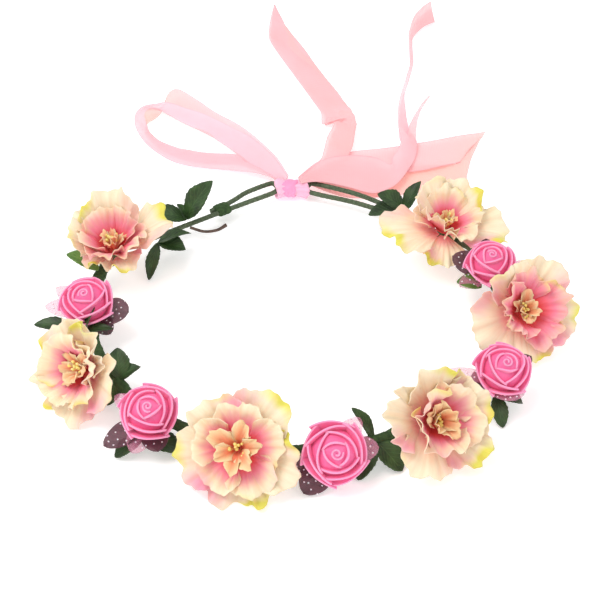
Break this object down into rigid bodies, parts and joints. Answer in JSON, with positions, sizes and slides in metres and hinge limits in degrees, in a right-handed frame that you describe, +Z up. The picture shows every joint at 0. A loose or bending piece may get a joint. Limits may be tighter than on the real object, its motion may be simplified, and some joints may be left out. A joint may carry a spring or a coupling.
{
  "type": "flower crown",
  "caption": "Flower crown: a paper-covered wire ring set with silk blossoms, foam roses and leaf sprigs, closed at the back by a sheer ribbon bow tied through two wire end loops.",
  "frame": {"origin": "on the table, under the middle of the whole crown with its bow spread out", "axes": "+Z up, the front of the crown faces -Y and the bow lies towards +Y; +X is to the right when the crown is seen from its front"},
  "size_m": [0.2528, 0.416, 0.0422],
  "materials": {
    "wire_paper": "matt paper winding",
    "floral_tape": "matt crepe paper",
    "calyx": "moulded, satin",
    "petal_silk": "fine weave, airbrushed",
    "throat_silk": "fine weave, airbrushed",
    "stamens": "moulded, satin",
    "rose_foam": "fine closed-cell foam, matt",
    "tulle": "net with raised dots",
    "leaf_silk": "printed weave, waxed",
    "stem": "moulded, satin",
    "ribbon": "sheer organza"
  },
  "bodies": {
    "crown": {"wire_ring": "wire_paper", "floral_tape": "floral_tape", "tape_collar_left": "floral_tape", "tape_collar_right": "floral_tape", "rose_1_head": "rose_foam", "rose_1_calyx": "calyx", "rose_1_tulle": "tulle", "rose_2_head": "rose_foam", "rose_2_calyx": "calyx", "rose_2_tulle": "tulle", "rose_3_head": "rose_foam", "rose_3_calyx": "calyx", "rose_3_tulle": "tulle", "rose_4_head": "rose_foam", "rose_4_calyx": "calyx", "rose_4_tulle": "tulle", "rose_5_head": "rose_foam", "rose_5_calyx": "calyx", "rose_5_tulle": "tulle", "blossom_1_outer_petals": "petal_silk", "blossom_1_inner_petals": "throat_silk", "blossom_1_stamens": "stamens", "blossom_1_calyx": "calyx", "blossom_2_outer_petals": "petal_silk", "blossom_2_inner_petals": "throat_silk", "blossom_2_stamens": "stamens", "blossom_2_calyx": "calyx", "blossom_3_outer_petals": "petal_silk", "blossom_3_inner_petals": "throat_silk", "blossom_3_stamens": "stamens", "blossom_3_calyx": "calyx", "blossom_4_outer_petals": "petal_silk", "blossom_4_inner_petals": "throat_silk", "blossom_4_stamens": "stamens", "blossom_4_calyx": "calyx", "blossom_5_outer_petals": "petal_silk", "blossom_5_inner_petals": "throat_silk", "blossom_5_stamens": "stamens", "blossom_5_calyx": "calyx", "blossom_6_outer_petals": "petal_silk", "blossom_6_inner_petals": "throat_silk", "blossom_6_stamens": "stamens", "blossom_6_calyx": "calyx", "leaf_sprig_1": "leaf_silk", "leaf_sprig_2": "leaf_silk", "leaf_sprig_3": "leaf_silk", "leaf_sprig_4": "leaf_silk", "leaf_sprig_5": "leaf_silk", "leaf_sprig_6": "leaf_silk", "leaf_sprig_7": "leaf_silk", "leaf_sprig_8": "leaf_silk", "leaf_sprig_9": "leaf_silk", "leaf_sprig_10": "leaf_silk", "leaf_sprig_11": "leaf_silk", "stem_end": "stem"},
    "bow": {"ribbon_knot": "ribbon"},
    "left_loop": {"ribbon_left_loop": "ribbon"},
    "right_loop": {"ribbon_right_loop": "ribbon"},
    "tails": {"ribbon_left_tail": "ribbon", "ribbon_right_tail": "ribbon"}
  },
  "joints": [
    {"name": "bow_swing", "type": "hinge", "parent": "crown", "child": "bow", "pos_m": [-0.00684, 0.01904, 0.006], "axis": [1, 0, 0], "range_deg": [-90, 60]},
    {"name": "left_loop_swing", "type": "hinge", "parent": "bow", "child": "left_loop", "pos_m": [-0.00684, 0.01904, 0.006], "axis": [1, 0, 0], "range_deg": [-20, 30]},
    {"name": "right_loop_swing", "type": "hinge", "parent": "bow", "child": "right_loop", "pos_m": [-0.00684, 0.01904, 0.006], "axis": [1, 0, 0], "range_deg": [-20, 0]},
    {"name": "tails_swing", "type": "hinge", "parent": "bow", "child": "tails", "pos_m": [-0.00684, 0.01904, 0.006], "axis": [1, 0, 0], "range_deg": [0, 30]}
  ]
}
